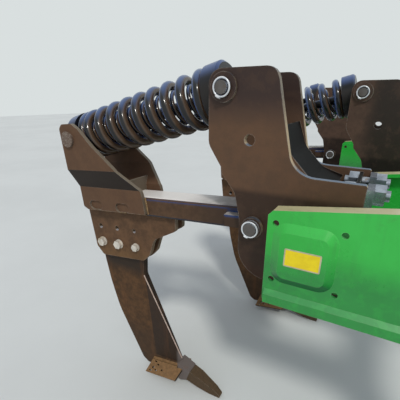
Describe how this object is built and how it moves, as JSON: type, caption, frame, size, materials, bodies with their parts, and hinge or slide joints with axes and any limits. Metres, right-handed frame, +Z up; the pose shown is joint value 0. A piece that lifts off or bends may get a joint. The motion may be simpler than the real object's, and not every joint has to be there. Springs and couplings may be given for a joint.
{
  "type": "mounted three-leg subsoiler with spring-reset legs",
  "caption": "Tractor-mounted deep ripper: staggered shanks on sprung trip arms, plate frame, top link mast, lower hitch pins and depth wheels.",
  "frame": {"origin": "on the floor under the middle of the whole machine's box", "axes": "+X forward towards the tractor, +Y to the machine's left, +Z up"},
  "size_m": [2.0589, 2.746, 1.4472],
  "materials": {
    "plate_black": "black gloss paint under brown dust",
    "arm_black": "black gloss paint, dusty",
    "leg_steel": "worn black paint, rust and soil",
    "wear_steel": "bare forged steel with rust film",
    "wing_steel": "light brown soil on bare steel",
    "spring_black": "deep gloss black",
    "guide_black": "gloss black",
    "zinc": "bright zinc plate",
    "frame_green": "green gloss paint",
    "wheel_leg_black": "black gloss paint",
    "rim_grey": "silver grey paint",
    "tyre_rubber": "black rubber"
  },
  "bodies": {
    "root": {"bracket_right": "plate_black", "pins_right": "zinc", "studs_right": "zinc", "bracket_centre": "plate_black", "pins_centre": "zinc", "studs_centre": "zinc", "bracket_left": "plate_black", "pins_left": "zinc", "studs_left": "zinc", "side_plates_right": "frame_green", "side_plates_left": "frame_green", "toolbars": "frame_green", "front_beam": "frame_green", "mast": "frame_green", "lower_hitch": "frame_green", "hitch_pins": "zinc"},
    "leg_right": {"arm_right": "arm_black", "ears_right": "plate_black", "cheeks_right": "leg_steel", "shank_right": "leg_steel", "point_right": "wear_steel", "wings_right": "wing_steel", "leg_bolts_right": "zinc"},
    "front_guide_right": {"front_guide_right": "guide_black", "spring_right": "spring_black"},
    "rear_guide_right": {"rear_guide_right": "guide_black"},
    "leg_centre": {"arm_centre": "arm_black", "ears_centre": "plate_black", "cheeks_centre": "leg_steel", "shank_centre": "leg_steel", "point_centre": "wear_steel", "wings_centre": "wing_steel", "leg_bolts_centre": "zinc"},
    "front_guide_centre": {"front_guide_centre": "guide_black", "spring_centre": "spring_black"},
    "rear_guide_centre": {"rear_guide_centre": "guide_black"},
    "leg_left": {"arm_left": "arm_black", "ears_left": "plate_black", "cheeks_left": "leg_steel", "shank_left": "leg_steel", "point_left": "wear_steel", "wings_left": "wing_steel", "leg_bolts_left": "zinc"},
    "front_guide_left": {"front_guide_left": "guide_black", "spring_left": "spring_black"},
    "rear_guide_left": {"rear_guide_left": "guide_black"},
    "wheel_leg_right": {"wheel_leg_right": "wheel_leg_black"},
    "wheel_right": {"rim_right": "rim_grey", "tyre_right": "tyre_rubber"},
    "wheel_leg_left": {"wheel_leg_left": "wheel_leg_black"},
    "wheel_left": {"rim_left": "rim_grey", "tyre_left": "tyre_rubber"}
  },
  "joints": [
    {"name": "trip_right", "type": "hinge", "parent": "root", "child": "leg_right", "pos_m": [-0.17042, -0.8, 0.964], "axis": [0, 1, 0], "range_deg": [0, 20], "stiffness_Nm_per_rad": 6000, "springref_deg": -20.05, "deforming": ["spring_right"]},
    {"name": "spring_swing_right", "type": "hinge", "parent": "root", "child": "front_guide_right", "pos_m": [-0.28042, -0.8, 1.364], "axis": [0, 1, 0], "range_deg": [0, 22.5]},
    {"name": "guide_swing_right", "type": "hinge", "parent": "leg_right", "child": "rear_guide_right", "pos_m": [-0.97823, -0.8, 1.18356], "axis": [0, 1, 0], "range_deg": [0, 2.2]},
    {"name": "trip_centre", "type": "hinge", "parent": "root", "child": "leg_centre", "pos_m": [0.13458, 0, 0.964], "axis": [0, 1, 0], "range_deg": [0, 20], "stiffness_Nm_per_rad": 6000, "springref_deg": -20.05, "deforming": ["spring_centre"]},
    {"name": "spring_swing_centre", "type": "hinge", "parent": "root", "child": "front_guide_centre", "pos_m": [0.02458, 0, 1.364], "axis": [0, 1, 0], "range_deg": [0, 22.5]},
    {"name": "guide_swing_centre", "type": "hinge", "parent": "leg_centre", "child": "rear_guide_centre", "pos_m": [-0.67323, 0, 1.18356], "axis": [0, 1, 0], "range_deg": [0, 2.2]},
    {"name": "trip_left", "type": "hinge", "parent": "root", "child": "leg_left", "pos_m": [-0.17042, 0.8, 0.964], "axis": [0, 1, 0], "range_deg": [0, 20], "stiffness_Nm_per_rad": 6000, "springref_deg": -20.05, "deforming": ["spring_left"]},
    {"name": "spring_swing_left", "type": "hinge", "parent": "root", "child": "front_guide_left", "pos_m": [-0.28042, 0.8, 1.364], "axis": [0, 1, 0], "range_deg": [0, 22.5]},
    {"name": "guide_swing_left", "type": "hinge", "parent": "leg_left", "child": "rear_guide_left", "pos_m": [-0.97823, 0.8, 1.18356], "axis": [0, 1, 0], "range_deg": [0, 2.2]},
    {"name": "wheel_height_right", "type": "slide", "parent": "root", "child": "wheel_leg_right", "axis": [0, 0, 1], "range_m": [-0.15, 0.2]},
    {"name": "wheel_turn_right", "type": "hinge", "parent": "wheel_leg_right", "child": "wheel_right", "pos_m": [0.72458, -1.2805, 0.3], "axis": [0, 1, 0], "continuous": true},
    {"name": "wheel_height_left", "type": "slide", "parent": "root", "child": "wheel_leg_left", "axis": [0, 0, 1], "range_m": [-0.15, 0.2]},
    {"name": "wheel_turn_left", "type": "hinge", "parent": "wheel_leg_left", "child": "wheel_left", "pos_m": [0.72458, 1.2805, 0.3], "axis": [0, 1, 0], "continuous": true}
  ],
  "couplings": [
    {"joint": "spring_swing_right", "follows": "trip_right", "ratio": 1.11},
    {"joint": "guide_swing_right", "follows": "trip_right", "ratio": 0.1},
    {"joint": "spring_swing_centre", "follows": "trip_centre", "ratio": 1.11},
    {"joint": "guide_swing_centre", "follows": "trip_centre", "ratio": 0.1},
    {"joint": "spring_swing_left", "follows": "trip_left", "ratio": 1.11},
    {"joint": "guide_swing_left", "follows": "trip_left", "ratio": 0.1}
  ]
}
